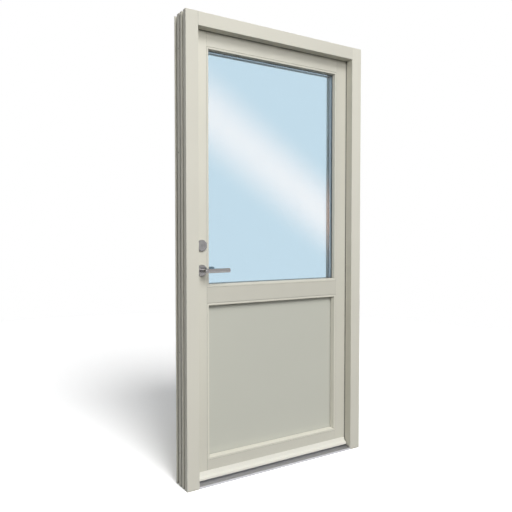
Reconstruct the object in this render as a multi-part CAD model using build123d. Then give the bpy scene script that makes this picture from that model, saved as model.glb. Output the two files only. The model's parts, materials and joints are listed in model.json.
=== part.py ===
from build123d import *
import os
from math import radians, tan

os.makedirs("parts", exist_ok=True)

# A half-glazed timber door in its frame: one leaf that opens inward, glass above and a panel below.
# Millimetres. X runs across the door, Y from outside to inside, Z up.
# The origin is the middle of the frame's footprint, on its underside.

# Frame
frame_width = 1000.0
frame_height = 2080.0
frame_depth = 115.0
member_face = 60.0
stop_depth = 43.0
rebate_step = 14.0
member_arris = 1.5

# Lengthwise grooves in the frame's outer sides, measured from its outside face
front_groove_at = 25.0
front_groove_width = 16.0
front_groove_depth = 9.0
middle_groove_at = 55.0
middle_groove_width = 10.0
middle_groove_depth = 6.0
back_groove_at = 86.0
back_groove_width = 22.0
back_groove_depth = 10.0

# Threshold
sill_nose_height = 9.0
sill_slope_run = 36.5
sill_slope_rise = 8.0
sill_upstand_height = 20.0
sill_wall = 2.0
sill_rib_pitch = 6.0
sill_rib_width = 2.0
sill_rib_depth = 0.8
sill_edge_round = 1.0
threshold_inner_height = 10.0

# Gaps and seals
leaf_gap = 5.0
threshold_gap = 4.0
seal_gap = 5.0
seal_clearance = 0.3
seal_bulb_width = 8.0
seal_bulb_round = 2.2
seal_stem_width = 2.4
seal_stem_depth = 6.0
sill_seal_height = 6.5
sill_seal_drop = 0.5
sill_seal_stem_depth = 2.5

# Leaf
leaf_thickness = 66.0
stile_width = 73.0
top_rail_height = 74.5
mid_rail_bottom = 812.5
mid_rail_height = 72.5
bottom_rail_height = 86.5
lip_width = 15.0
lip_thickness = 18.0
stile_arris = 1.5
rail_arris = 2.5
lip_arris = 3.0
tenon_length = 40.0
tenon_thickness = 16.0
tenon_shoulder = 12.0

# Glass unit, panel, tapes and beads
pane_thickness = 4.0
unit_thickness = 26.0
unit_edge_gap = 4.0
spacer_width = 7.0
spacer_inset = 3.5
setting_block_length = 80.0
setting_block_inset = 120.0
panel_thickness = 20.0
panel_skin = 4.0
panel_edge_gap = 2.0
tape_thickness = 3.0
tape_width = 9.0
bead_face = 9.0
bead_splay = 16.0
bead_arris = 1.2
bead_clearance = 0.2

# Weather bar
bar_end_gap = 3.0
bar_top = 54.0
bar_foot = 21.5
bar_shoulder = 37.5
bar_lip = 1.8
bar_shoulder_reach = 8.0
bar_reach = 19.0
bar_wall = 2.5
bar_nose_height = 8.5
bar_round = 3.5
bar_tongue_at = 46.0
bar_tongue_height = 3.0
bar_tongue_depth = 7.0

# Hinges
hinge_end_distance = 220.0
hinge_height = 90.0
hinge_plate_thickness = 2.5
hinge_plate_depth = 32.0
hinge_corner = 8.0
knuckle_radius = 7.5
knuckle_gap = 1.5
knuckle_clearance = 0.3
hinge_pin_radius = 4.0
pin_seat_clearance = 0.02
pin_run_clearance = 0.06
hinge_washer_height = 1.0
pin_cap_height = 3.0

# Screws
screw_head_radius = 4.2
screw_head_height = 2.4
screw_shank_radius = 2.0
screw_length = 30.0
screw_clearance = 0.05
hinge_screw_pitch = 30.0
hinge_screw_stagger = 5.0
corner_screw_length = 95.0
cross_slot_width = 0.9
cross_slot_length = 4.4
cross_slot_depth = 1.2

# Holes for fixing the frame to a wall
fixing_radius = 4.0
fixing_head_radius = 8.0
fixing_head_depth = 6.0
outer_fixing_distance = 150.0
inner_fixing_distance = 600.0

# Lock
backset = 45.0
lever_above_rail = 77.0
cylinder_distance = 111.0
case_depth = 62.0
case_thickness = 15.0
case_wall = 1.5
case_end_margin = 45.0
case_clearance = 0.5
faceplate_thickness = 3.0
faceplate_width = 22.0
faceplate_overhang = 20.0
faceplate_screw_inset = 9.0
strip_end_flat = 1.0
bolt_clearance = 0.3
latch_offset = 33.0
latch_height = 20.0
latch_length = 50.0
latch_throw = 12.0
latch_nose = 2.0
deadbolt_offset = 33.0
deadbolt_height = 24.0
deadbolt_length = 44.0
deadbolt_throw = 20.0
strike_thickness = 2.5
strike_margin = 1.5
strike_pocket_clearance = 7.5

# Handles and cylinder
rosette_radius = 25.0
rosette_thickness = 9.0
rosette_chamfer = 2.0
neck_radius = 9.0
neck_round = 4.5
neck_clearance = 0.3
neck_insertion = 7.0
lever_projection = 53.0
lever_length = 122.0
lever_grip_height = 19.5
lever_root_thickness = 13.0
lever_tip_thickness = 8.0
lever_return = 8.0
lever_tip_round = 9.0
lever_tip_margin = 1.0
spindle_side = 8.0
spindle_insertion = 28.0
spindle_hole_radius = 11.0
follower_radius = 10.0
housing_radius = 14.0
housing_stand_out = 7.0
plug_radius = 7.0
plug_clearance = 0.05
plug_recess = 0.5
keyway_width = 2.4
keyway_height = 9.0
keyway_depth = 24.0
tail_width = 8.0
tail_thickness = 3.0
thumbturn_radius = 9.0
thumbturn_base = 5.0
thumbturn_length = 34.0
thumbturn_thickness = 9.0
thumbturn_reach = 16.0
thumbturn_clearance = 1.0

# How far a cut runs on past a face
past = 1.0

# Planes and edges that several pieces share
outside = -frame_depth / 2
inside = frame_depth / 2
stop_back = outside + stop_depth
leaf_outside = stop_back + seal_gap
leaf_inside = leaf_outside + leaf_thickness
leaf_middle = (leaf_outside + leaf_inside) / 2
lip_front = leaf_inside - lip_thickness
glazing_back = lip_front - tape_thickness

side = frame_width / 2
stop_edge = side - member_face
rebate_edge = stop_edge + rebate_step
leaf_edge = rebate_edge - leaf_gap
joint_edge = leaf_edge - stile_width

head_edge = frame_height - member_face
head_rebate = head_edge + rebate_step
leaf_top = head_rebate - leaf_gap
leaf_bottom = threshold_inner_height + threshold_gap
top_joint = leaf_top - top_rail_height
mid_rail_top = mid_rail_bottom + mid_rail_height
bottom_joint = leaf_bottom + bottom_rail_height

hinge_x = (leaf_edge + rebate_edge) / 2
hinge_y = max(inside, leaf_inside) + knuckle_gap + knuckle_radius
hinge_heights = [hinge_end_distance, frame_height / 2, frame_height - hinge_end_distance]

lock_x = -leaf_edge + backset
lever_height = mid_rail_top + lever_above_rail
cylinder_height = lever_height + cylinder_distance
case_bottom = lever_height - case_end_margin
case_top = cylinder_height + case_end_margin
latch_z = lever_height + latch_offset
deadbolt_z = cylinder_height - deadbolt_offset
inner_width = case_thickness - 2 * case_wall
bolt_thickness = inner_width - 2 * bolt_clearance
case_front = -leaf_edge + faceplate_thickness
strike_back = -rebate_edge - strike_thickness
strike_pocket_end = -leaf_edge - deadbolt_throw - strike_pocket_clearance


def block(x0, x1, y0, y1, z0, z1):
    """A box between two corners."""
    box = Box(x1 - x0, y1 - y0, z1 - z0, align=(Align.MIN, Align.MIN, Align.MIN))
    return Pos(x0, y0, z0) * box


def along_x(points, x0, x1, rounds=()):
    """A profile of (y, z) points pushed along X; rounds lists (point number, radius)."""
    return Pos(x0, 0, 0) * extrude(Plane.YZ * outline(points, rounds), x1 - x0)


def along_z(points, z0, z1, rounds=()):
    """A profile of (x, y) points pushed along Z."""
    return Pos(0, 0, z0) * extrude(outline(points, rounds), z1 - z0)


def outline(points, rounds=()):
    """A closed face through the points, with some of its corners rounded."""
    face = make_face(Polyline(*points, close=True))
    for number, radius in rounds:
        corner = Vector(*points[number])
        vertex = min(face.vertices(), key=lambda v: (Vector(v.X, v.Y) - corner).length)
        face = fillet(vertex, radius)
    return face


def rod(radius, y0, y1, x, z):
    """A round bar along Y."""
    return Pos(x, y0, z) * extrude(Plane.XZ * Circle(radius), -(y1 - y0))


def mirrored(shape):
    """The same piece on the door's other side."""
    return mirror(shape, about=Plane.YZ)


def save(name, *solids):
    """Write one node's solids."""
    found = [solid for shape in solids for solid in shape.solids()]
    export_step(found[0] if len(found) == 1 else Compound(children=found), f"parts/{name}.step")


def screw_shape(length, grow=0.0):
    """A countersunk screw along +Z with its head's flat face at the origin."""
    head = Cone(screw_head_radius + grow, screw_shank_radius + grow, screw_head_height,
                align=(Align.CENTER, Align.CENTER, Align.MIN))
    shank = Cylinder(screw_shank_radius + grow, length + grow,
                     align=(Align.CENTER, Align.CENTER, Align.MIN))
    return head + shank


def screw(length):
    """A screw with a cross slot in its head."""
    slots = Box(cross_slot_length, cross_slot_width, 2 * cross_slot_depth)
    slots += Box(cross_slot_width, cross_slot_length, 2 * cross_slot_depth)
    return screw_shape(length) - slots


def screw_towards(sign, x, y, z):
    """Where a screw that points along X in the given direction sits."""
    return Pos(x, y, z) * Rot(0, 90 * sign, 0)


# Frame

def groove_cuts():
    """The three side grooves as (distance in from the outside face, width, depth)."""
    return [(front_groove_at, front_groove_width, front_groove_depth),
            (middle_groove_at, middle_groove_width, middle_groove_depth),
            (back_groove_at, back_groove_width, back_groove_depth)]


def seal_slot_centre():
    """How far a seal's middle lies beyond the stop's edge."""
    return (rebate_step - leaf_gap) / 2


def fixing_heights():
    """Heights of the wall fixings, lowest first."""
    return [outer_fixing_distance, inner_fixing_distance,
            frame_height - inner_fixing_distance, frame_height - outer_fixing_distance]


def fixing_y():
    """The wall fixings pass through the ridge between the middle and the back groove."""
    return outside + (middle_groove_at + middle_groove_width + back_groove_at) / 2


def jamb():
    """The left jamb: stop, rebate, side grooves, seal slot and fixing holes."""
    points = [(-side, outside), (-stop_edge, outside), (-stop_edge, stop_back),
              (-rebate_edge, stop_back), (-rebate_edge, inside), (-side, inside)]
    rounds = [(0, member_arris), (1, member_arris), (4, member_arris), (5, member_arris)]
    body = along_z(points, 0, frame_height, rounds)
    for at, width, depth in groove_cuts():
        body -= block(-side - past, -side + depth, outside + at, outside + at + width,
                      -past, frame_height + past)
    slot_x = -stop_edge - seal_slot_centre()
    body -= block(slot_x - seal_stem_width / 2, slot_x + seal_stem_width / 2,
                  stop_back - seal_stem_depth, stop_back + past, -past, frame_height + past)
    for height in fixing_heights():
        at = Pos(-side, fixing_y(), height) * Rot(0, 90, 0)
        body -= at * Cylinder(fixing_radius, 2 * (member_face + past))
        recess = Cylinder(fixing_head_radius, fixing_head_depth,
                          align=(Align.CENTER, Align.CENTER, Align.MAX))
        body -= Pos(-rebate_edge, fixing_y(), height) * Rot(0, 90, 0) * recess
    for place in corner_screw_places():
        body -= screw_towards(1, *place) * screw_shape(corner_screw_length, screw_clearance)
    return body


def corner_screw_places():
    """Heads of the left jamb's two screws into the head, at the bottoms of two grooves."""
    front_y = outside + front_groove_at + front_groove_width / 2
    middle_y = outside + middle_groove_at + middle_groove_width / 2
    return [(-side + front_groove_depth, front_y, frame_height - member_face / 2),
            (-side + middle_groove_depth, middle_y, (head_rebate + frame_height) / 2)]


def corner_screws():
    """The screws that hold the head between the jambs."""
    left = [screw_towards(1, *place) * screw(corner_screw_length) for place in corner_screw_places()]
    return left + [mirrored(piece) for piece in left]


def head():
    """The frame's head: its ends fit round the jambs' stops."""
    points = [(outside, frame_height), (outside, head_edge), (stop_back, head_edge),
              (stop_back, head_rebate), (inside, head_rebate), (inside, frame_height)]
    rounds = [(0, member_arris), (1, member_arris), (4, member_arris), (5, member_arris)]
    body = along_x(points, -rebate_edge, rebate_edge, rounds)
    for at, width, depth in groove_cuts():
        body -= block(-side, side, outside + at, outside + at + width,
                      frame_height - depth, frame_height + past)
    for x0, x1 in ((-rebate_edge - past, -stop_edge), (stop_edge, rebate_edge + past)):
        body -= block(x0, x1, outside - past, stop_back, head_edge - past, frame_height + past)
    slot_z = head_edge + seal_slot_centre()
    body -= block(-side, side, stop_back - seal_stem_depth, stop_back + past,
                  slot_z - seal_stem_width / 2, slot_z + seal_stem_width / 2)
    for place in corner_screw_places():
        hole = screw_towards(1, *place) * screw_shape(corner_screw_length, screw_clearance)
        body -= hole
        body -= mirrored(hole)
    return body


def sill_slope(y_from_outside):
    """Height of the sill's sloping top."""
    return sill_nose_height + sill_slope_rise * y_from_outside / sill_slope_run


def threshold_sill():
    """The aluminium sill: nose, ribbed slope, upstand and the flat under the leaf."""
    slope_end = outside + sill_slope_run
    points = [(outside, 0), (outside, sill_nose_height), (slope_end, sill_slope(sill_slope_run)),
              (slope_end, sill_upstand_height), (stop_back, sill_upstand_height),
              (stop_back, threshold_inner_height), (inside, threshold_inner_height),
              (inside, threshold_inner_height - sill_wall), (slope_end, threshold_inner_height - sill_wall),
              (slope_end, sill_slope(sill_slope_run) - sill_wall),
              (outside + sill_wall, sill_slope(sill_wall) - sill_wall), (outside + sill_wall, 0)]
    rounds = [(1, sill_wall), (3, sill_edge_round), (4, sill_edge_round)]
    body = along_x(points, -rebate_edge, rebate_edge, rounds)
    for x0, x1 in ((-rebate_edge - past, -stop_edge), (stop_edge, rebate_edge + past)):
        body -= block(x0, x1, outside - past, stop_back, -past, sill_upstand_height + past)
    rib = outside + 2 * sill_rib_pitch
    while rib + sill_rib_width < slope_end:
        top = sill_slope(rib - outside)
        body -= block(-side, side, rib, rib + sill_rib_width, top - sill_rib_depth, top + sill_rib_pitch)
        rib += sill_rib_pitch
    slot_z = sill_seal_middle()
    body -= block(-side, side, stop_back - sill_seal_stem_depth, stop_back + past,
                  slot_z - seal_stem_width / 2, slot_z + seal_stem_width / 2)
    return body


def threshold_base():
    """The hardwood board that fills the sill and carries it between the jambs."""
    under = threshold_inner_height - sill_wall
    slope_end = outside + sill_slope_run
    points = [(outside + sill_wall, 0), (outside + sill_wall, sill_slope(sill_wall) - sill_wall),
              (slope_end, sill_slope(sill_slope_run) - sill_wall), (slope_end, under),
              (inside, under), (inside, 0)]
    body = along_x(points, -rebate_edge, rebate_edge)
    for x0, x1 in ((-rebate_edge - past, -stop_edge), (stop_edge, rebate_edge + past)):
        body -= block(x0, x1, outside - past, stop_back, -past, sill_upstand_height + past)
    return body


def sill_seal_middle():
    """Height of the middle of the seal on the sill's upstand."""
    return sill_upstand_height - sill_seal_drop - sill_seal_height / 2


def seal_outline(width, stem_depth):
    """A bulb seal's corners as (across, out of the slot), bulb corners last."""
    reach = seal_gap - seal_clearance
    half = width / 2
    stem = seal_stem_width / 2
    return [(-half, 0), (-stem, 0), (-stem, -stem_depth), (stem, -stem_depth), (stem, 0),
            (half, 0), (half, reach), (-half, reach)]


def seal_rounds():
    """The rounded corners of a seal's bulb."""
    return [(6, seal_bulb_round), (7, seal_bulb_round)]


def jamb_seal():
    """The left jamb's seal."""
    x = -stop_edge - seal_slot_centre()
    corners = seal_outline(seal_bulb_width, seal_stem_depth)
    points = [(x + across, stop_back + out) for across, out in corners]
    return along_z(points, threshold_inner_height, head_edge, seal_rounds())


def seal_along_x(half_length, z, width, stem_depth):
    """A seal across the door, centred at a height."""
    points = [(stop_back + out, z + across) for across, out in seal_outline(width, stem_depth)]
    return along_x(points, -half_length, half_length, seal_rounds())


def head_seal():
    """The head's seal, from rebate to rebate over the jambs' seals."""
    seal = seal_along_x(rebate_edge, head_edge + seal_slot_centre(), seal_bulb_width, seal_stem_depth)
    ends = block(-side, -stop_edge, outside, stop_back, head_edge - past, frame_height)
    return seal - ends - mirrored(ends)


def sill_seal():
    """The seal on the sill's upstand, between the jambs' seals."""
    return seal_along_x(stop_edge, sill_seal_middle(), sill_seal_height, sill_seal_stem_depth)


# Leaf

def stile():
    """The left stile with its glazing rebate, lip and the rails' mortises."""
    points = [(-leaf_edge, leaf_outside), (-joint_edge, leaf_outside), (-joint_edge, lip_front),
              (-joint_edge + lip_width, lip_front), (-joint_edge + lip_width, leaf_inside),
              (-leaf_edge, leaf_inside)]
    rounds = [(0, stile_arris), (1, stile_arris), (4, lip_arris), (5, stile_arris)]
    body = along_z(points, leaf_bottom, leaf_top, rounds)
    for z0, z1 in tenon_spans():
        body -= tenon(z0, z1)
    return body - bar_slot()


def tenon_spans():
    """Lowest and highest point of each rail's tenon."""
    rails = [(leaf_bottom, bottom_joint), (mid_rail_bottom, mid_rail_top), (top_joint, leaf_top)]
    return [(low + tenon_shoulder, high - tenon_shoulder) for low, high in rails]


def tenon(z0, z1):
    """The tenon on a rail's left end."""
    return block(-joint_edge - tenon_length, -joint_edge, leaf_middle - tenon_thickness / 2,
                 leaf_middle + tenon_thickness / 2, z0, z1)


def rail(z0, z1, lip_below, lip_above):
    """A rail between the stiles, with a lip on each side that has glass or panel."""
    low = z0 - lip_width if lip_below else z0
    high = z1 + lip_width if lip_above else z1
    points = [(leaf_outside, z0), (leaf_outside, z1)]
    rounds = [(0, rail_arris), (1, rail_arris)]
    if lip_above:
        points += [(lip_front, z1), (lip_front, high)]
    points += [(leaf_inside, high), (leaf_inside, low)]
    rounds += [(len(points) - 2, lip_arris), (len(points) - 1, lip_arris)]
    if lip_below:
        points += [(lip_front, low), (lip_front, z0)]
    body = along_x(points, -joint_edge, joint_edge, rounds)
    inner = joint_edge - lip_width
    for x0, x1 in ((-joint_edge - past, -inner), (inner, joint_edge + past)):
        body -= block(x0, x1, lip_front, leaf_inside + past, low - past, high + past)
    end = tenon(z0 + tenon_shoulder, z1 - tenon_shoulder)
    return body + end + mirrored(end)


def bar_half_length():
    """Half the weather bar's length."""
    return stop_edge - bar_end_gap


def bar_slot():
    """The slot that holds the weather bar's tongue."""
    return block(-bar_half_length(), bar_half_length(), leaf_outside - past, leaf_outside + bar_tongue_depth,
                 bar_tongue_at, bar_tongue_at + bar_tongue_height)


def bottom_rail():
    """The bottom rail, with its part of the weather bar's slot."""
    return rail(leaf_bottom, bottom_joint, False, True) - bar_slot()


def bead(length, depth):
    """One bead along X, mitred at both ends: its foot at z = 0, its front at y = 0."""
    splay = depth * tan(radians(bead_splay))
    points = [(0, 0), (0, bead_face), (depth, bead_face + splay), (depth, 0)]
    body = along_x(points, -length / 2, length / 2, [(0, bead_arris), (1, bead_arris)])
    reach = 2 * (bead_face + splay)
    corners = [(-length / 2, 0), (length / 2, 0), (length / 2 - reach, reach), (-length / 2 + reach, reach)]
    mitre = Plane((0, 0, 0), x_dir=(1, 0, 0), z_dir=(0, -1, 0)) * outline(corners)
    return body & extrude(mitre, depth + past, both=True)


def bead_ring(name, z0, z1, depth):
    """Four beads round an opening of the leaf."""
    middle = (z0 + z1) / 2
    across = bead(2 * (joint_edge - bead_clearance), depth)
    up = bead(z1 - z0 - 2 * bead_clearance, depth)
    edge = joint_edge - bead_clearance
    save(f"{name}_bead_bottom", Pos(0, leaf_outside, z0 + bead_clearance) * across)
    save(f"{name}_bead_top", Pos(0, leaf_outside, z1 - bead_clearance) * Rot(0, 180, 0) * across)
    save(f"{name}_bead_left", Pos(-edge, leaf_outside, middle) * Rot(0, 90, 0) * up)
    save(f"{name}_bead_right", Pos(edge, leaf_outside, middle) * Rot(0, -90, 0) * up)


def ring(x_half, z0, z1, width, y0, y1):
    """A flat rectangular ring with its outer edge given."""
    outer = block(-x_half, x_half, y0, y1, z0, z1)
    return outer - block(-x_half + width, x_half - width, y0 - past, y1 + past, z0 + width, z1 - width)


def sheet(z0, z1, gap, y0, y1):
    """A flat sheet in an opening, with a gap round its edge."""
    return block(-joint_edge + gap, joint_edge - gap, y0, y1, z0 + gap, z1 - gap)


def glass():
    """The sealed double glazing unit, its tapes, beads and setting blocks."""
    z0, z1 = mid_rail_top, top_joint
    front = glazing_back - unit_thickness
    save("glass_outer_pane", sheet(z0, z1, unit_edge_gap, front, front + pane_thickness))
    save("glass_inner_pane", sheet(z0, z1, unit_edge_gap, glazing_back - pane_thickness, glazing_back))
    inset = unit_edge_gap + spacer_inset
    save("glass_spacer", ring(joint_edge - inset, z0 + inset, z1 - inset, spacer_width,
                              front + pane_thickness, glazing_back - pane_thickness))
    save_tapes("glass", z0, z1, front)
    blocks = [block(x - setting_block_length / 2, x + setting_block_length / 2, front, glazing_back,
                    z0, z0 + unit_edge_gap)
              for x in (-joint_edge + setting_block_inset, joint_edge - setting_block_inset)]
    save("glass_setting_blocks", *blocks)
    bead_ring("glass", z0, z1, front - tape_thickness - leaf_outside)


def panel():
    """The insulated lower panel, its tapes and beads."""
    z0, z1 = bottom_joint, mid_rail_bottom
    front = glazing_back - panel_thickness
    save("panel_outer_skin", sheet(z0, z1, panel_edge_gap, front, front + panel_skin))
    save("panel_core", sheet(z0, z1, panel_edge_gap, front + panel_skin, glazing_back - panel_skin))
    save("panel_inner_skin", sheet(z0, z1, panel_edge_gap, glazing_back - panel_skin, glazing_back))
    save_tapes("panel", z0, z1, front)
    bead_ring("panel", z0, z1, front - tape_thickness - leaf_outside)


def save_tapes(name, z0, z1, front):
    """The tape behind the beads and the tape on the lip."""
    edge = joint_edge - panel_edge_gap
    low, high = z0 + panel_edge_gap, z1 - panel_edge_gap
    outer = ring(edge, low, high, tape_width, front - tape_thickness, front)
    inner = ring(edge, low, high, tape_width, glazing_back, lip_front)
    save(f"{name}_tapes", outer, inner)


def weather_bar():
    """The drip profile across the foot of the leaf."""
    face = leaf_outside
    nose = face - bar_reach
    nose_top = bar_foot + bar_nose_height
    shoulder = face - bar_shoulder_reach
    points = [(face, bar_top), (face - bar_lip, bar_top), (shoulder, bar_shoulder), (nose, nose_top),
              (nose, bar_foot), (nose + bar_wall, bar_foot), (nose + bar_wall, nose_top - bar_wall),
              (shoulder + bar_wall, bar_shoulder - bar_wall), (face, bar_shoulder - bar_wall),
              (face, bar_tongue_at), (face + bar_tongue_depth, bar_tongue_at),
              (face + bar_tongue_depth, bar_tongue_at + bar_tongue_height),
              (face, bar_tongue_at + bar_tongue_height)]
    return along_x(points, -bar_half_length(), bar_half_length(), [(2, bar_round), (3, bar_round)])


# Hinges

def plate(x0, x1, height):
    """A hinge plate seen from the side, rounded at its buried corners, running on to the pin."""
    front = inside - hinge_plate_depth
    low, high = height - hinge_height / 2, height + hinge_height / 2
    points = [(front, low), (front, high), (hinge_y, high), (hinge_y, low)]
    face = outline(points, [(0, hinge_corner), (1, hinge_corner)])
    return Pos(x0, 0, 0) * extrude(Plane.YZ * face, x1 - x0)


def knuckle(radius, z0, z1):
    """A round bar on the hinge's axis."""
    bar = Cylinder(radius, z1 - z0, align=(Align.CENTER, Align.CENTER, Align.MIN))
    return Pos(hinge_x, hinge_y, z0) * bar


def hinge_screw_places(x, height):
    """Heads of one plate's three screws."""
    y = inside - hinge_plate_depth / 2
    return [(x, y - hinge_screw_stagger, height - hinge_screw_pitch),
            (x, y + hinge_screw_stagger, height),
            (x, y - hinge_screw_stagger, height + hinge_screw_pitch)]


def hinge_parts(height):
    """One hinge: frame plate, leaf plate, pin and washer, with the cuts for plates and screws."""
    half_washer = hinge_washer_height / 2
    low, high = height - hinge_height / 2, height + hinge_height / 2
    frame_plate = plate(rebate_edge, rebate_edge + hinge_plate_thickness, height)
    leaf_plate = plate(leaf_edge - hinge_plate_thickness, leaf_edge, height)
    free = knuckle(knuckle_radius + knuckle_clearance, low - past, high + past)
    frame_side = frame_plate - free + knuckle(knuckle_radius, low, height - half_washer)
    frame_side += frame_plate & knuckle(knuckle_radius + past, low, height - half_washer)
    leaf_side = leaf_plate - free + knuckle(knuckle_radius, height + half_washer, high)
    leaf_side += leaf_plate & knuckle(knuckle_radius + past, height + half_washer, high)
    frame_side -= knuckle(hinge_pin_radius + pin_seat_clearance, low - past, high + past)
    leaf_side -= knuckle(hinge_pin_radius + pin_run_clearance, low - past, high + past)
    return frame_side, leaf_side


def hinges():
    """All hinges; returns the cuts that seat them in the right jamb and the right stile."""
    pins = []
    washers = []
    frame_screws = []
    leaf_screws = []
    jamb_cuts = []
    stile_cuts = []
    for number, height in enumerate(hinge_heights, start=1):
        low, high = height - hinge_height / 2, height + hinge_height / 2
        frame_side, leaf_side = hinge_parts(height)
        jamb_cuts.append(plate(rebate_edge - past, rebate_edge + hinge_plate_thickness, height))
        stile_cuts.append(plate(leaf_edge - hinge_plate_thickness, leaf_edge + past, height))
        hole = screw_shape(screw_length, screw_clearance)
        for place in hinge_screw_places(rebate_edge, height):
            at = screw_towards(1, *place)
            frame_screws.append(at * screw(screw_length))
            frame_side -= at * hole
            jamb_cuts.append(at * hole)
        for place in hinge_screw_places(leaf_edge, height):
            at = screw_towards(-1, *place)
            leaf_screws.append(at * screw(screw_length))
            leaf_side -= at * hole
            stile_cuts.append(at * hole)
        save(f"hinge_frame_plate_{number}", frame_side)
        save(f"hinge_leaf_plate_{number}", leaf_side)
        cap = knuckle(knuckle_radius, low - pin_cap_height, low)
        pins.append(knuckle(hinge_pin_radius, low, high) + cap)
        washer = knuckle(knuckle_radius, height - hinge_washer_height / 2, height + hinge_washer_height / 2)
        washer -= knuckle(hinge_pin_radius + pin_seat_clearance, low, high)
        washers.append(washer)
    save("hinge_pins", *pins)
    save("hinge_washers", *washers)
    save("hinge_frame_screws", *frame_screws)
    save("hinge_leaf_screws", *leaf_screws)
    return jamb_cuts, stile_cuts


# Lock

def latch_bolt():
    """The sprung bolt, bevelled on the side that meets the strike plate first."""
    tip = -leaf_edge - latch_throw
    low, high = leaf_middle - bolt_thickness / 2, leaf_middle + bolt_thickness / 2
    points = [(tip + latch_throw, low), (tip + latch_length, low), (tip + latch_length, high),
              (tip, high), (tip, high - latch_nose)]
    return along_z(points, latch_z - latch_height / 2, latch_z + latch_height / 2)


def deadbolt():
    """The square bolt, drawn back flush with the faceplate."""
    return block(-leaf_edge, -leaf_edge + deadbolt_length, leaf_middle - bolt_thickness / 2,
                 leaf_middle + bolt_thickness / 2, deadbolt_z - deadbolt_height / 2,
                 deadbolt_z + deadbolt_height / 2)


def bolt_window(x0, x1):
    """The two openings that the bolts pass through."""
    half = bolt_thickness / 2 + bolt_clearance
    cuts = []
    for z, height in ((latch_z, latch_height), (deadbolt_z, deadbolt_height)):
        cuts.append(block(x0, x1, leaf_middle - half, leaf_middle + half,
                          z - height / 2 - bolt_clearance, z + height / 2 + bolt_clearance))
    return cuts


def case_body(grow):
    """The lock case's outer form."""
    half = case_thickness / 2 + grow
    return block(case_front - grow, case_front + case_depth + grow, leaf_middle - half, leaf_middle + half,
                 case_bottom - grow, case_top + grow)


def lock_case():
    """The steel case: a shell with openings for the bolts, the follower and the cylinder's tail."""
    half = inner_width / 2
    body = case_body(0)
    body -= block(case_front + case_wall, case_front + case_depth - case_wall, leaf_middle - half,
                  leaf_middle + half, case_bottom + case_wall, case_top - case_wall)
    for cut in bolt_window(case_front - past, case_front + case_wall + past):
        body -= cut
    body -= rod(follower_radius + bolt_clearance, leaf_middle - case_thickness, leaf_middle + case_thickness,
                lock_x, lever_height)
    body -= rod(plug_radius + bolt_clearance, leaf_middle - case_thickness, leaf_middle + case_thickness,
                lock_x, cylinder_height)
    return body


def edge_strip(x0, x1, width):
    """A flat strip on the leaf's edge or in the rebate, over the lock's height."""
    z0, z1 = case_bottom - faceplate_overhang, case_top + faceplate_overhang
    face = RectangleRounded(width, z1 - z0, width / 2 - strip_end_flat)
    return Pos(x0, 0, 0) * extrude(Plane.YZ * Pos(leaf_middle, (z0 + z1) / 2) * face, x1 - x0)


def strip_screw_heights():
    """Heights of the two screws in the faceplate and in the strike plate."""
    return [case_bottom - faceplate_overhang + faceplate_screw_inset,
            case_top + faceplate_overhang - faceplate_screw_inset]


def lock_parts():
    """Case, faceplate, bolts and screws; returns what they cut out of the left stile."""
    save("lock_case", lock_case())
    faceplate = edge_strip(-leaf_edge, case_front, faceplate_width)
    for cut in bolt_window(-leaf_edge - past, case_front + past):
        faceplate -= cut
    cuts = [edge_strip(-leaf_edge - past, case_front, faceplate_width), case_body(case_clearance)]
    screws = []
    for z in strip_screw_heights():
        at = screw_towards(1, -leaf_edge, leaf_middle, z)
        screws.append(at * screw(screw_length))
        faceplate -= at * screw_shape(screw_length, screw_clearance)
        cuts.append(at * screw_shape(screw_length, screw_clearance))
    save("lock_faceplate", faceplate)
    save("lock_screws", *screws)
    save("latch_bolt", latch_bolt())
    save("deadbolt", deadbolt())
    front, back = leaf_outside - past, leaf_inside + past
    cuts.append(rod(spindle_hole_radius, front, back, lock_x, lever_height))
    cuts.append(rod(housing_radius + plug_clearance, front, leaf_middle, lock_x, cylinder_height))
    cuts.append(rod(thumbturn_radius + neck_clearance, leaf_middle, back, lock_x, cylinder_height))
    return cuts


def strike():
    """The strike plate and its screws; returns what they cut out of the left jamb."""
    width = faceplate_width + 2 * strike_margin
    body = edge_strip(strike_back, -rebate_edge, width)
    cuts = [edge_strip(strike_back, -rebate_edge + past, width)]
    for window in bolt_window(strike_pocket_end, -rebate_edge + past):
        grown = window.bounding_box()
        cut = block(grown.min.X, grown.max.X, grown.min.Y - strike_margin, grown.max.Y + strike_margin,
                    grown.min.Z - strike_margin, grown.max.Z + strike_margin)
        body -= cut
        cuts.append(cut)
    screws = []
    for z in strip_screw_heights():
        at = screw_towards(-1, -rebate_edge, leaf_middle, z)
        screws.append(at * screw(screw_length))
        body -= at * screw_shape(screw_length, screw_clearance)
        cuts.append(at * screw_shape(screw_length, screw_clearance))
    save("strike_plate", body)
    save("strike_screws", *screws)
    return cuts


# Handles and cylinder

def rosette(bore):
    """A round cover plate on the leaf's outside face."""
    disc = rod(rosette_radius, leaf_outside - rosette_thickness, leaf_outside, 0, 0)
    rim = disc.edges().filter_by(GeomType.CIRCLE).sort_by(Axis.Y)[0]
    disc = chamfer(rim, rosette_chamfer)
    return disc - rod(bore, leaf_outside - rosette_thickness - past, leaf_outside + past, 0, 0)


def to_inside(shape):
    """The same piece on the leaf's inside face."""
    return mirror(shape, about=Plane.XZ.offset(-leaf_middle))


def grip_section(share, plane_y):
    """The oval section of the lever's grip, a share of its length from the neck's axis."""
    thick = lever_root_thickness + (lever_tip_thickness - lever_root_thickness) * share
    middle = (share * lever_length, plane_y + lever_return * share ** 2, 0)
    plane = Plane(middle, x_dir=(0, 1, 0), z_dir=(1, 0, 0))
    return plane * Ellipse(thick / 2, lever_grip_height / 2)


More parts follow.
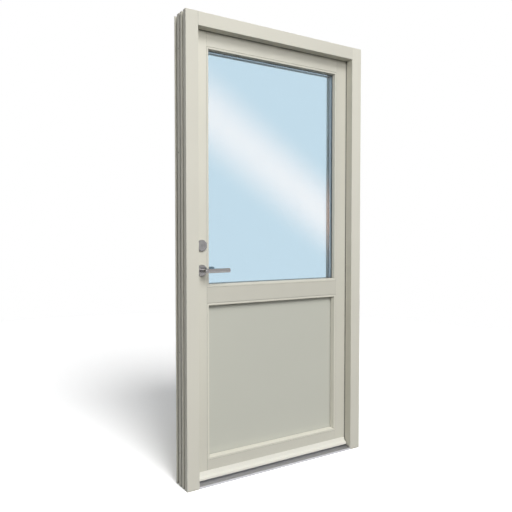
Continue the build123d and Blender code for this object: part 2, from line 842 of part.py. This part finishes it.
def lever():
    """The outside lever: a round neck and a flat oval grip that turns back towards the door."""
    plane_y = leaf_outside - lever_projection
    grip = loft([grip_section(share, plane_y) for share in (0.0, 0.5, 1.0)])
    trim = RectangleRounded(2 * lever_length, lever_grip_height + 2 * lever_tip_margin, lever_tip_round)
    grip &= extrude(Plane.XZ * trim, 2 * lever_projection, both=True)
    neck_end = leaf_outside - rosette_thickness + neck_insertion
    neck = rod(neck_radius, plane_y - lever_root_thickness / 2, neck_end, 0, 0)
    neck = fillet(neck.edges().filter_by(GeomType.CIRCLE).sort_by(Axis.Y)[0], neck_round)
    body = grip + neck
    half = spindle_side / 2
    body -= block(-half, half, neck_end - spindle_insertion, neck_end + past, -half, half)
    return Pos(lock_x, 0, lever_height) * body


def spindle():
    """The square bar that joins both levers through the follower."""
    start = leaf_outside - rosette_thickness + neck_insertion - spindle_insertion
    end = 2 * leaf_middle - start
    half = spindle_side / 2
    return block(lock_x - half, lock_x + half, start, end, lever_height - half, lever_height + half)


def follower():
    """The hub in the lock case that the spindle turns."""
    body = rod(follower_radius, leaf_middle - case_thickness / 2, leaf_middle + case_thickness / 2,
               lock_x, lever_height)
    return body - spindle()


def cylinder():
    """Housing, key plug with its tail, and the inside thumbturn."""
    front = leaf_outside - housing_stand_out
    case_side = leaf_middle - case_thickness / 2
    housing = rod(housing_radius, front, case_side, lock_x, cylinder_height)
    housing -= rod(plug_radius + plug_clearance, front - past, case_side + past, lock_x, cylinder_height)
    save("cylinder_housing", housing)
    plug = rod(plug_radius, front + plug_recess, case_side, lock_x, cylinder_height)
    plug -= block(lock_x - keyway_width / 2, lock_x + keyway_width / 2, front - past, front + keyway_depth,
                  cylinder_height - keyway_height / 2, cylinder_height + keyway_height / 2)
    turn_face = leaf_inside + rosette_thickness
    plug += block(lock_x - tail_thickness / 2, lock_x + tail_thickness / 2, case_side - past,
                  turn_face, cylinder_height - tail_width / 2, cylinder_height + tail_width / 2)
    save("key_plug", plug)
    save("thumbturn", thumbturn(turn_face) - plug)


def thumbturn(face):
    """The inside knob: a shaft in the rosette, a round base and an oval grip."""
    body = rod(thumbturn_radius, leaf_inside + thumbturn_clearance, face + thumbturn_base, 0, 0)
    grip = extrude(Plane.XZ * Ellipse(thumbturn_thickness / 2, thumbturn_length / 2), -thumbturn_reach)
    body += Pos(0, face + thumbturn_base, 0) * grip
    return Pos(lock_x, 0, cylinder_height) * body


def handles():
    """Levers, spindle, follower and the four rosettes."""
    place = Pos(lock_x, 0, lever_height)
    save("outside_lever", lever())
    save("inside_lever", to_inside(lever()))
    save("spindle", spindle())
    save("lock_follower", follower())
    save("outside_rosette", place * rosette(neck_radius + neck_clearance))
    save("inside_rosette", to_inside(place * rosette(neck_radius + neck_clearance)))
    place = Pos(lock_x, 0, cylinder_height)
    save("outside_escutcheon", place * rosette(housing_radius + plug_clearance))
    save("inside_escutcheon", to_inside(place * rosette(thumbturn_radius + neck_clearance)))


# The whole door

hinge_jamb_cuts, hinge_stile_cuts = hinges()
lock_cuts = lock_parts()
strike_cuts = strike()

left_jamb = jamb()
for strike_cut in strike_cuts:
    left_jamb -= strike_cut
right_jamb = mirrored(jamb())
for hinge_cut in hinge_jamb_cuts:
    right_jamb -= hinge_cut
left_stile = stile()
for lock_cut in lock_cuts:
    left_stile -= lock_cut
right_stile = mirrored(stile())
for hinge_cut in hinge_stile_cuts:
    right_stile -= hinge_cut

save("jamb_left", left_jamb)
save("jamb_right", right_jamb)
save("head", head())
save("corner_screws", *corner_screws())
save("threshold_sill", threshold_sill())
save("threshold_base", threshold_base())
save("seal_jambs", jamb_seal(), mirrored(jamb_seal()))
save("seal_head", head_seal())
save("seal_sill", sill_seal())

save("stile_left", left_stile)
save("stile_right", right_stile)
save("rail_top", rail(top_joint, leaf_top, True, False))
save("rail_middle", rail(mid_rail_bottom, mid_rail_top, True, True))
save("rail_bottom", bottom_rail())
save("weather_bar", weather_bar())
glass()
panel()
handles()
cylinder()
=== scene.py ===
import json
import math

import bpy
from mathutils import Euler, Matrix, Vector

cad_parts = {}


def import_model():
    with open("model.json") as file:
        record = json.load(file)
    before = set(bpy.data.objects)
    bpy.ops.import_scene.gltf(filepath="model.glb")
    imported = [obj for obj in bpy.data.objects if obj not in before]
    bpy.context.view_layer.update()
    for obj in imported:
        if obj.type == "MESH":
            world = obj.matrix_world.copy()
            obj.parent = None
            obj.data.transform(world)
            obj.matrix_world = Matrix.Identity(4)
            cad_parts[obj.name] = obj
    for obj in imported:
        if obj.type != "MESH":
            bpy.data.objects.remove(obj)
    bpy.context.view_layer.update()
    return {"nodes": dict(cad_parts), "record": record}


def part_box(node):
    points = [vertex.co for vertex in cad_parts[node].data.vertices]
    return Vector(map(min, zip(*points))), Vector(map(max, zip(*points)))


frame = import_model()

# A half-glazed timber door in its frame: opaque satin paint, clear glass, satin metal fittings.
# Metres. X runs across the door, Y from outside to inside, Z up.

# Camera: the photograph's viewpoint
CAMERA_PLACE = (-1.5636, -2.2731, 1.1097)
CAMERA_TURN = (88.12, 0.0, -32.61)
CAMERA_LENS = 40.02
CAMERA_SENSOR = 36.0

# Colours, as linear values
WHITE = (1.0, 1.0, 1.0)
CREAM = (0.745, 0.725, 0.635)
LEAF_CREAM = (0.730, 0.712, 0.622)
PANEL_GREY = (0.575, 0.578, 0.507)
BAR_CREAM = (0.780, 0.765, 0.690)
GLASS_TINT = (0.724, 0.838, 0.903)
GLASS_SHADE = (0.42, 0.43, 0.44)
SATIN_STEEL = (0.31, 0.30, 0.30)
ZINC = (0.58, 0.59, 0.61)
SILL_GREY = (0.52, 0.52, 0.55)
SPACER_GREY = (0.45, 0.46, 0.48)
RUBBER_BLACK = (0.020, 0.020, 0.020)
TAPE_GREY = (0.045, 0.047, 0.050)
PLASTIC_BLACK = (0.030, 0.030, 0.033)
FOAM_BLUE = (0.55, 0.66, 0.76)
WOOD_LIGHT = (0.30, 0.165, 0.085)
WOOD_DARK = (0.13, 0.062, 0.030)

# Painted light and shade: the paint's tone at a piece's lower or left end and at its upper or right
# end
PLAIN_TONES = (1.0, 1.0)
LIGHT_AND_SHADE_TONES = {
    "jamb_left": (0.98, 0.98),
    "jamb_right": (0.93, 1.07),
    "stile_left": (0.91, 1.09),
    "stile_right": (0.90, 0.94),
    "rail_top": (1.09, 1.00),
    "rail_middle": (0.88, 0.88),
    "rail_bottom": (0.88, 0.88),
}

# Finishes. A noise is its scale, its detail and, where it isn't the usual one, its roughness.
# Tones and roughness are the ranges that it runs through. A relief is its strength and its
# height in metres. A stretch draws a texture out along one axis.
NOISE_LOW = 0.3
NOISE_HIGH = 0.7
FULL_RANGE = (0.0, 1.0)

PAINT_MOTTLE = (2.3, 3.0)
PAINT_MOTTLE_TONES = (0.975, 1.02)
PAINT_STROKES = (900.0, 4.0)
PAINT_STRETCH = 40.0
PAINT_STROKES_RELIEF = (0.2, 0.00018)
PAINT_FILM = (420.0, 2.0)
PAINT_FILM_RELIEF = (0.12, 0.00025)
PAINT_ROUGHNESS = (0.36, 0.46)
PAINT_IOR = 1.45
PAINT_GLOSS = 0.2

# Painted shade in narrow corners of the paint: their reach, the openness over which the tone
# changes, the tone where they are closed, and the rays that look for them
CREASE_REACH = 0.016
CREASE_RANGE = (0.15, 0.75)
CREASE_SHADE_TONE = 0.28
CREASE_SAMPLES = 8

# A flat sprayed board: only a fine even texture
BOARD = {"mottle": (1.4, 2.0), "tones": (0.985, 1.01), "film": (700.0, 2.0),
         "roughness": (0.42, 0.50), "relief": (0.15, 0.0002)}
# Powder coat: an even orange-peel film
POWDER = {"mottle": (5.0, 2.0), "tones": (0.98, 1.01), "film": (1300.0, 1.0),
          "roughness": (0.26, 0.34), "relief": (0.2, 0.0001)}

BRUSH_LINES = (1600.0, 5.0, 0.65)
BRUSH_STRETCH = 60.0
BRUSH_TONES = (0.86, 1.10)
BRUSH_RELIEF = (0.25, 0.00005)
SILL_ROUGHNESS = (0.38, 0.50)
SPACER_ROUGHNESS = (0.32, 0.45)
SATIN_ROUGHNESS = (0.17, 0.27)

ZINC_PATCHES = 260.0
ZINC_TONES = (0.88, 1.08)
ZINC_GRAIN = (600.0, 3.0)
ZINC_ROUGHNESS = (0.26, 0.40)

SKIN = (1500.0, 3.0)
SKIN_TONES = (0.8, 1.25)
SKIN_RELIEF = (0.3, 0.00008)
SEAL_ROUGHNESS = (0.55, 0.75)
TAPE_ROUGHNESS = (0.65, 0.85)
BLOCK_ROUGHNESS = (0.35, 0.50)

FOAM_CELLS = 900.0
FOAM_TONES = (0.9, 1.0)
FOAM_ROUGHNESS = 0.8
FOAM_RELIEF = (0.5, 0.0002)

WOOD_STRETCH = 18.0
WOOD_BANDS = (95.0, 6.0, 0.6)
WOOD_PORES = (1400.0, 3.0)
WOOD_ROUGHNESS = (0.42, 0.58)
WOOD_RELIEF = (0.4, 0.0001)

GLASS_IOR = 1.5
GLASS_RIPPLE = (3.0, 1.0)
GLASS_RELIEF = (0.02, 0.0005)

# Suns: soft daylight from above in front, and a low weaker one from behind. Each is its angle
# to the left of straight in front, its height and its disc's width, in degrees, and its strength.
HIGH_SUN = (4.6, 43.0, 28.0, 1.85)
BACK_SUN = (168.0, 11.0, 30.0, 1.2)

# Front lamp: a large soft box, set higher than the door so that the foot gets less
FRONT_PLACE = (-0.9, -3.4, 2.6)
FRONT_AIM = (0.0, 0.0, 1.5)
FRONT_SIZE = 1.7
FRONT_GLOW = 6.3

# The world's light on the object, above and below a band round the horizon
AMBIENT_ABOVE = 0.21
AMBIENT_BELOW = 0.03
HORIZON_BAND = 0.15

# Reflection card: a soft slanting band of light that only the smooth glass mirrors. It runs
# through two points, fades out towards its sides and, between two distances, towards its ends.
CARD_Y = -4.0
CARD_CORNERS = ((0.75, 0.35), (4.75, 3.65))
CARD_LINE = ((1.81, 2.62), (3.68, 1.40))
CARD_HALF = 0.62
CARD_REACH = (1.2, 1.9)
CARD_GLOW = (2.8, 1.4, 0.75)

# Floor: half its width, its drop under the door, its brightness as a background and to other
# light, the light that lifts its shadow, and where the shadow gives way to plain white
FLOOR_HALF = 14.0
FLOOR_DROP = 0.0005
FLOOR_WHITE = 1.42
FLOOR_BOUNCE = 0.07
FLOOR_LIFT = 0.045
SHADOW_MIDDLE = (0.0, 1.3, 0.0)
SHADOW_EDGE = (2.8, 4.6)


def add(nodes, kind, **values):
    """A shader node with its properties set."""
    node = nodes.new(kind)
    for name, value in values.items():
        setattr(node, name, value)
    return node


def opaque(colour):
    """A colour with full alpha."""
    return (*colour, 1.0)


def set_inputs(node, **values):
    """Values of a node's sockets; an underscore in a name stands for a space."""
    for name, value in values.items():
        socket = node.inputs[name.replace("_", " ")]
        socket.default_value = opaque(value) if socket.type == "RGBA" else value


def new_material(name):
    """An empty material; returns it with its nodes, links and surface shader."""
    material = bpy.data.materials.new(name)
    material.use_nodes = True
    nodes, links = material.node_tree.nodes, material.node_tree.links
    return material, nodes, links, nodes["Principled BSDF"]


def stage_material(name):
    """A material of the stage, without the surface shader."""
    material, nodes, links, shader = new_material(name)
    nodes.remove(shader)
    return material, nodes, links


def shows_as(nodes, links, shader):
    """Makes a shader's output the material's surface."""
    links.new(shader, nodes["Material Output"].inputs["Surface"])


def object_points(nodes, links, stretch=(1.0, 1.0, 1.0)):
    """The object's own coordinates, scaled along each axis."""
    mapping = nodes.new("ShaderNodeMapping")
    mapping.inputs["Scale"].default_value = stretch
    links.new(nodes.new("ShaderNodeTexCoord").outputs["Object"], mapping.inputs["Vector"])
    return mapping.outputs["Vector"]


def noise(nodes, links, points, scale, detail, roughness=0.55):
    """A noise texture's value from 0 to 1."""
    texture = nodes.new("ShaderNodeTexNoise")
    set_inputs(texture, Scale=scale, Detail=detail, Roughness=roughness)
    links.new(points, texture.inputs["Vector"])
    return texture.outputs["Fac"]


def cells(nodes, links, points, scale):
    """A cell texture's distance from the middle of each cell."""
    texture = nodes.new("ShaderNodeTexVoronoi")
    set_inputs(texture, Scale=scale)
    links.new(points, texture.inputs["Vector"])
    return texture.outputs["Distance"]


def spread(nodes, links, value, low, high, start=NOISE_LOW, end=NOISE_HIGH):
    """A value mapped from start..end to low..high."""
    mapped = nodes.new("ShaderNodeMapRange")
    set_inputs(mapped, From_Min=start, From_Max=end, To_Min=low, To_Max=high)
    links.new(value, mapped.inputs["Value"])
    return mapped.outputs["Result"]


def mixed(nodes, links, factor, first, second):
    """A colour between two colours."""
    mix = add(nodes, "ShaderNodeMix", data_type="RGBA")
    mix.inputs["A"].default_value = opaque(first)
    mix.inputs["B"].default_value = opaque(second)
    links.new(factor, mix.inputs["Factor"])
    return mix.outputs["Result"]


def multiplied(nodes, links, first, second):
    """Two linked colours multiplied."""
    mix = add(nodes, "ShaderNodeMix", data_type="RGBA", blend_type="MULTIPLY")
    mix.inputs["Factor"].default_value = 1.0
    links.new(first, mix.inputs["A"])
    links.new(second, mix.inputs["B"])
    return mix.outputs["Result"]


def product(nodes, links, first, second):
    """Two linked values multiplied."""
    times = add(nodes, "ShaderNodeMath", operation="MULTIPLY")
    links.new(first, times.inputs[0])
    links.new(second, times.inputs[1])
    return times.outputs["Value"]


def toned(nodes, links, value, colour, tones, start=NOISE_LOW, end=NOISE_HIGH):
    """A colour whose tone follows a value from start to end."""
    factor = spread(nodes, links, value, *FULL_RANGE, start, end)
    return mixed(nodes, links, factor, *(scaled(colour, tone) for tone in tones))


def scaled(colour, factor):
    """A colour made lighter or darker."""
    return tuple(channel * factor for channel in colour)


def along(axis, stretch):
    """Scales that draw a texture out along one axis of the object."""
    return tuple(1.0 / stretch if name == axis else 1.0 for name in "XYZ")


def bump(nodes, links, shader, height, strength, distance, after=None):
    """Relief on a shader; after is the normal that it adds to."""
    relief = nodes.new("ShaderNodeBump")
    set_inputs(relief, Strength=strength, Distance=distance)
    links.new(height, relief.inputs["Height"])
    if after is not None:
        links.new(after, relief.inputs["Normal"])
    links.new(relief.outputs["Normal"], shader.inputs["Normal"])
    return relief.outputs["Normal"]


def paint(name, colour, axis, start, end, tones):
    """Satin paint on timber: faint brush marks along the piece, painted light and shade as a tone
    graded along it, and painted shade in its narrow corners.
    """
    material, nodes, links, shader = new_material(name)
    points = object_points(nodes, links)
    split = nodes.new("ShaderNodeSeparateXYZ")
    links.new(points, split.inputs["Vector"])
    # Painted light and shade: the tone is graded along the piece from one end to the other
    tone = toned(nodes, links, split.outputs[axis], colour, tones, start, end)
    mottle = noise(nodes, links, points, *PAINT_MOTTLE)
    tone = multiplied(nodes, links, tone, spread(nodes, links, mottle, *PAINT_MOTTLE_TONES))
    # Painted shade: the paint is darkened in narrow corners, which ambient occlusion finds
    crease = add(nodes, "ShaderNodeAmbientOcclusion", samples=CREASE_SAMPLES)
    crease.inputs["Distance"].default_value = CREASE_REACH
    openness = spread(nodes, links, crease.outputs["AO"], *FULL_RANGE, *CREASE_RANGE)
    crease_shade = mixed(nodes, links, openness, scaled(WHITE, CREASE_SHADE_TONE), WHITE)
    links.new(multiplied(nodes, links, tone, crease_shade), shader.inputs["Base Color"])
    lengthwise = object_points(nodes, links, along(axis, PAINT_STRETCH))
    strokes = noise(nodes, links, lengthwise, *PAINT_STROKES)
    film = noise(nodes, links, points, *PAINT_FILM)
    links.new(spread(nodes, links, film, *PAINT_ROUGHNESS), shader.inputs["Roughness"])
    normal = bump(nodes, links, shader, strokes, *PAINT_STROKES_RELIEF)
    bump(nodes, links, shader, film, *PAINT_FILM_RELIEF, normal)
    set_inputs(shader, IOR=PAINT_IOR, Specular_IOR_Level=PAINT_GLOSS)
    return material


def even_coat(name, colour, finish):
    """A sprayed coat on a smooth ground."""
    material, nodes, links, shader = new_material(name)
    points = object_points(nodes, links)
    mottle = noise(nodes, links, points, *finish["mottle"])
    links.new(toned(nodes, links, mottle, colour, finish["tones"]), shader.inputs["Base Color"])
    film = noise(nodes, links, points, *finish["film"])
    links.new(spread(nodes, links, film, *finish["roughness"]), shader.inputs["Roughness"])
    bump(nodes, links, shader, film, *finish["relief"])
    return material


def brushed(name, colour, axis, roughness):
    """Metal with fine lines along one axis."""
    material, nodes, links, shader = new_material(name)
    lengthwise = object_points(nodes, links, along(axis, BRUSH_STRETCH))
    lines = noise(nodes, links, lengthwise, *BRUSH_LINES)
    links.new(toned(nodes, links, lines, colour, BRUSH_TONES), shader.inputs["Base Color"])
    links.new(spread(nodes, links, lines, *roughness), shader.inputs["Roughness"])
    bump(nodes, links, shader, lines, *BRUSH_RELIEF)
    set_inputs(shader, Metallic=1.0)
    return material


def zinc_plate(name, colour):
    """Plated steel: pale patches in a slightly uneven coat."""
    material, nodes, links, shader = new_material(name)
    points = object_points(nodes, links)
    patches = cells(nodes, links, points, ZINC_PATCHES)
    tone = toned(nodes, links, patches, colour, ZINC_TONES, *FULL_RANGE)
    links.new(tone, shader.inputs["Base Color"])
    grain = noise(nodes, links, points, *ZINC_GRAIN)
    links.new(spread(nodes, links, grain, *ZINC_ROUGHNESS), shader.inputs["Roughness"])
    set_inputs(shader, Metallic=1.0)
    return material


def rubber(name, colour, roughness):
    """Soft matt rubber, tape or plastic with a faint skin."""
    material, nodes, links, shader = new_material(name)
    skin = noise(nodes, links, object_points(nodes, links), *SKIN)
    links.new(toned(nodes, links, skin, colour, SKIN_TONES), shader.inputs["Base Color"])
    links.new(spread(nodes, links, skin, *roughness), shader.inputs["Roughness"])
    bump(nodes, links, shader, skin, *SKIN_RELIEF)
    return material


def foam(name, colour):
    """Insulating foam: small closed cells."""
    material, nodes, links, shader = new_material(name)
    pits = cells(nodes, links, object_points(nodes, links), FOAM_CELLS)
    tone = toned(nodes, links, pits, colour, FOAM_TONES, *FULL_RANGE)
    links.new(tone, shader.inputs["Base Color"])
    bump(nodes, links, shader, pits, *FOAM_RELIEF)
    set_inputs(shader, Roughness=FOAM_ROUGHNESS)
    return material


def oiled_wood(name, light, dark):
    """Hardwood with long grain along X and fine pores."""
    material, nodes, links, shader = new_material(name)
    points = object_points(nodes, links, along("X", WOOD_STRETCH))
    bands = spread(nodes, links, noise(nodes, links, points, *WOOD_BANDS), *FULL_RANGE)
    links.new(mixed(nodes, links, bands, light, dark), shader.inputs["Base Color"])
    pores = noise(nodes, links, points, *WOOD_PORES)
    links.new(spread(nodes, links, pores, *WOOD_ROUGHNESS), shader.inputs["Roughness"])
    bump(nodes, links, shader, pores, *WOOD_RELIEF)
    return material


def clear_glass(name, tint, shade):
    """Glass with a faint ripple in its gloss, which casts a shadow of its own shade."""
    material, nodes, links, shader = new_material(name)
    set_inputs(shader, Base_Color=tint, Roughness=0.0, IOR=GLASS_IOR, Transmission_Weight=1.0)
    ripple = noise(nodes, links, object_points(nodes, links), *GLASS_RIPPLE)
    bump(nodes, links, shader, ripple, *GLASS_RELIEF)
    clear = nodes.new("ShaderNodeBsdfTransparent")
    set_inputs(clear, Color=shade)
    either = nodes.new("ShaderNodeMixShader")
    links.new(nodes.new("ShaderNodeLightPath").outputs["Is Shadow Ray"], either.inputs[0])
    links.new(shader.outputs["BSDF"], either.inputs[1])
    links.new(clear.outputs["BSDF"], either.inputs[2])
    shows_as(nodes, links, either.outputs["Shader"])
    return material


def painted(node):
    """The paint of one piece of timber, with painted light and shade graded along its length."""
    low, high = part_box(node)
    axis = "Z" if high.z - low.z > high.x - low.x else "X"
    start, end = (low.z, high.z) if axis == "Z" else (low.x, high.x)
    colour = CREAM if node in frame["record"]["behaviour"]["bodies"]["frame"] else LEAF_CREAM
    # Each piece's painted light and shade tones; a piece without its own tones is left plain
    return paint(f"{node}_paint", colour, axis, start, end, LIGHT_AND_SHADE_TONES.get(node, PLAIN_TONES))


def dress():
    """Gives every CAD node the material of its slot; timber gets a paint of its own, with its own
    painted light and shade.
    """
    finishes = {
        "painted_panel": even_coat("panel_paint", PANEL_GREY, BOARD),
        "painted_profile": even_coat("profile_coat", BAR_CREAM, POWDER),
        "sill_aluminium": brushed("sill_metal", SILL_GREY, "X", SILL_ROUGHNESS),
        "hardwood": oiled_wood("oiled_hardwood", WOOD_LIGHT, WOOD_DARK),
        "seal_rubber": rubber("seal_rubber", RUBBER_BLACK, SEAL_ROUGHNESS),
        "glazing_tape": rubber("glazing_tape", TAPE_GREY, TAPE_ROUGHNESS),
        "clear_glass": clear_glass("float_glass", GLASS_TINT, GLASS_SHADE),
        "spacer_metal": brushed("spacer_metal", SPACER_GREY, "Z", SPACER_ROUGHNESS),
        "foam_core": foam("foam_core", FOAM_BLUE),
        "block_plastic": rubber("block_plastic", PLASTIC_BLACK, BLOCK_ROUGHNESS),
        "satin_hardware": brushed("satin_metal", SATIN_STEEL, "X", SATIN_ROUGHNESS),
        "zinc_steel": zinc_plate("zinc_plate", ZINC),
    }
    slots = {part["node"]: part["material_slot"] for part in frame["record"]["subparts"]}
    for name, piece in frame["nodes"].items():
        material = finishes.get(slots[name]) or painted(name)
        piece.data.materials.clear()
        piece.data.materials.append(material)


def white_rays(nodes, links):
    """1 for rays that show a background: the camera's, mirrored ones and those through glass."""
    path = nodes.new("ShaderNodeLightPath")
    total = path.outputs["Is Camera Ray"]
    for output in ("Is Glossy Ray", "Is Transmission Ray"):
        both = add(nodes, "ShaderNodeMath", operation="ADD", use_clamp=True)
        links.new(total, both.inputs[0])
        links.new(path.outputs[output], both.inputs[1])
        total = both.outputs["Value"]
    return total


def glow(nodes, links, shows, strength):
    """White light given off, for the rays that show a background."""
    power = add(nodes, "ShaderNodeMath", operation="MULTIPLY")
    power.inputs[0].default_value = strength
    links.new(shows, power.inputs[1])
    light = nodes.new("ShaderNodeEmission")
    links.new(power.outputs["Value"], light.inputs["Strength"])
    return light.outputs["Emission"]


def world():
    """White behind everything that shows it, and a soft grey light on the object."""
    sky = bpy.data.worlds.new("studio")
    sky.use_nodes = True
    bpy.context.scene.world = sky
    nodes, links = sky.node_tree.nodes, sky.node_tree.links
    split = nodes.new("ShaderNodeSeparateXYZ")
    links.new(nodes.new("ShaderNodeTexCoord").outputs["Generated"], split.inputs["Vector"])
    height = spread(nodes, links, split.outputs["Z"], AMBIENT_BELOW, AMBIENT_ABOVE,
                    -HORIZON_BAND, HORIZON_BAND)
    strength = add(nodes, "ShaderNodeMix", data_type="FLOAT")
    links.new(white_rays(nodes, links), strength.inputs["Factor"])
    links.new(height, strength.inputs["A"])
    strength.inputs["B"].default_value = 1.0
    background = nodes["Background"]
    set_inputs(background, Color=WHITE)
    links.new(strength.outputs["Result"], background.inputs["Strength"])


def floor_material():
    """A pale floor that keeps the object's shadow and is plain white further off."""
    material, nodes, links = stage_material("studio_floor")
    shows = white_rays(nodes, links)
    tone = mixed(nodes, links, shows, scaled(WHITE, FLOOR_BOUNCE), scaled(WHITE, FLOOR_WHITE))
    matt = nodes.new("ShaderNodeBsdfDiffuse")
    links.new(tone, matt.inputs["Color"])
    near = nodes.new("ShaderNodeAddShader")
    links.new(matt.outputs["BSDF"], near.inputs[0])
    links.new(glow(nodes, links, shows, FLOOR_LIFT), near.inputs[1])
    distance = add(nodes, "ShaderNodeVectorMath", operation="DISTANCE")
    links.new(nodes.new("ShaderNodeTexCoord").outputs["Object"], distance.inputs[0])
    distance.inputs[1].default_value = SHADOW_MIDDLE
    far = spread(nodes, links, distance.outputs["Value"], *FULL_RANGE, *SHADOW_EDGE)
    blend = nodes.new("ShaderNodeMixShader")
    links.new(far, blend.inputs[0])
    links.new(near.outputs["Shader"], blend.inputs[1])
    links.new(glow(nodes, links, shows, 1.0), blend.inputs[2])
    shows_as(nodes, links, blend.outputs["Shader"])
    return material


def sheet(name, corners, material):
    """A flat four-cornered piece for the stage."""
    mesh = bpy.data.meshes.new(name)
    mesh.from_pydata(corners, [], [(0, 1, 2, 3)])
    mesh.materials.append(material)
    piece = bpy.data.objects.new(name, mesh)
    bpy.context.scene.collection.objects.link(piece)
    return piece


def square(half):
    """The corners of a square in the plane of X and Y."""
    return [(-half, -half, 0), (half, -half, 0), (half, half, 0), (-half, half, 0)]


def facing(way):
    """The turn that points the -Z side of a lamp or a sheet along a direction."""
    return way.to_track_quat("-Z", "Y").to_euler()


def stage():
    """The floor under the door."""
    floor = sheet("floor", square(FLOOR_HALF), floor_material())
    floor.location.z = -FLOOR_DROP


def sun(name, left, up, width, strength):
    """Soft parallel light, whose wide disc nothing mirrors or shows through glass."""
    data = bpy.data.lights.new(name, "SUN")
    data.angle = math.radians(width)
    data.energy = strength
    lamp = bpy.data.objects.new(name, data)
    lamp.visible_glossy = False
    lamp.visible_transmission = False
    turn, rise = math.radians(left), math.radians(up)
    level = math.cos(rise)
    way = Vector((math.sin(turn) * level, math.cos(turn) * level, -math.sin(rise)))
    lamp.rotation_euler = facing(way)
    bpy.context.scene.collection.objects.link(lamp)


def soft_box():
    """A large glowing square that points at the door; metal mirrors it, smooth glass doesn't."""
    material, nodes, links = stage_material("soft_box_light")
    light = nodes.new("ShaderNodeEmission")
    light.inputs["Strength"].default_value = FRONT_GLOW
    either = nodes.new("ShaderNodeMixShader")
    links.new(nodes.new("ShaderNodeLightPath").outputs["Is Singular Ray"], either.inputs[0])
    links.new(light.outputs["Emission"], either.inputs[1])
    links.new(nodes.new("ShaderNodeBsdfTransparent").outputs["BSDF"], either.inputs[2])
    shows_as(nodes, links, either.outputs["Shader"])
    box = sheet("soft_box", square(FRONT_SIZE / 2), material)
    box.location = FRONT_PLACE
    box.rotation_euler = facing(Vector(FRONT_AIM) - Vector(FRONT_PLACE))
    box.visible_camera = False
    box.visible_shadow = False


def fade(nodes, links, offset, way, near, far):
    """1 where a point lies within near of the middle along one way, softly down to 0 at far."""
    part = add(nodes, "ShaderNodeVectorMath", operation="DOT_PRODUCT")
    links.new(offset, part.inputs[0])
    part.inputs[1].default_value = way
    size = add(nodes, "ShaderNodeMath", operation="ABSOLUTE")
    links.new(part.outputs["Value"], size.inputs[0])
    falloff = add(nodes, "ShaderNodeMapRange", interpolation_type="SMOOTHSTEP")
    set_inputs(falloff, From_Min=near, From_Max=far, To_Min=1.0, To_Max=0.0)
    links.new(size.outputs["Value"], falloff.inputs["Value"])
    return falloff.outputs["Result"]


def card_band(nodes, links):
    """The strength of the card's slanting band at each of its points."""
    start, end = (Vector((x, CARD_Y, z)) for x, z in CARD_LINE)
    lengthwise = (end - start).normalized()
    across = lengthwise.cross(Vector((0.0, 1.0, 0.0)))
    offset = add(nodes, "ShaderNodeVectorMath", operation="SUBTRACT")
    links.new(nodes.new("ShaderNodeTexCoord").outputs["Object"], offset.inputs[0])
    offset.inputs[1].default_value = (start + end) / 2
    vector = offset.outputs["Vector"]
    return product(nodes, links, fade(nodes, links, vector, lengthwise, *CARD_REACH),
                   fade(nodes, links, vector, across, 0.0, CARD_HALF))


def card():
    """A see-through card in front of the door with a soft band of light for the glass to mirror."""
    material, nodes, links = stage_material("card_light")
    path = nodes.new("ShaderNodeLightPath")
    mirrored = add(nodes, "ShaderNodeMath", operation="GREATER_THAN")
    links.new(path.outputs["Glossy Depth"], mirrored.inputs[0])
    shown = product(nodes, links, mirrored.outputs["Value"], path.outputs["Is Singular Ray"])
    light = nodes.new("ShaderNodeEmission")
    set_inputs(light, Color=CARD_GLOW)
    strength = product(nodes, links, card_band(nodes, links), shown)
    links.new(strength, light.inputs["Strength"])
    both = nodes.new("ShaderNodeAddShader")
    links.new(nodes.new("ShaderNodeBsdfTransparent").outputs["BSDF"], both.inputs[0])
    links.new(light.outputs["Emission"], both.inputs[1])
    shows_as(nodes, links, both.outputs["Shader"])
    (left, low), (right, high) = CARD_CORNERS
    corners = [(left, low), (right, low), (right, high), (left, high)]
    piece = sheet("reflection_card", [(x, CARD_Y, z) for x, z in corners], material)


def camera():
    """The camera at the photograph's viewpoint."""
    data = bpy.data.cameras.new("camera")
    data.lens = CAMERA_LENS
    data.sensor_width = CAMERA_SENSOR
    view = bpy.data.objects.new("camera", data)
    view.location = CAMERA_PLACE
    view.rotation_euler = Euler([math.radians(angle) for angle in CAMERA_TURN])
    bpy.context.scene.collection.objects.link(view)
    bpy.context.scene.camera = view


camera()
stage()
card()
world()
sun("high_lamp", *HIGH_SUN)
sun("back_lamp", *BACK_SUN)
soft_box()
dress()
bpy.context.scene.view_settings.view_transform = "Standard"
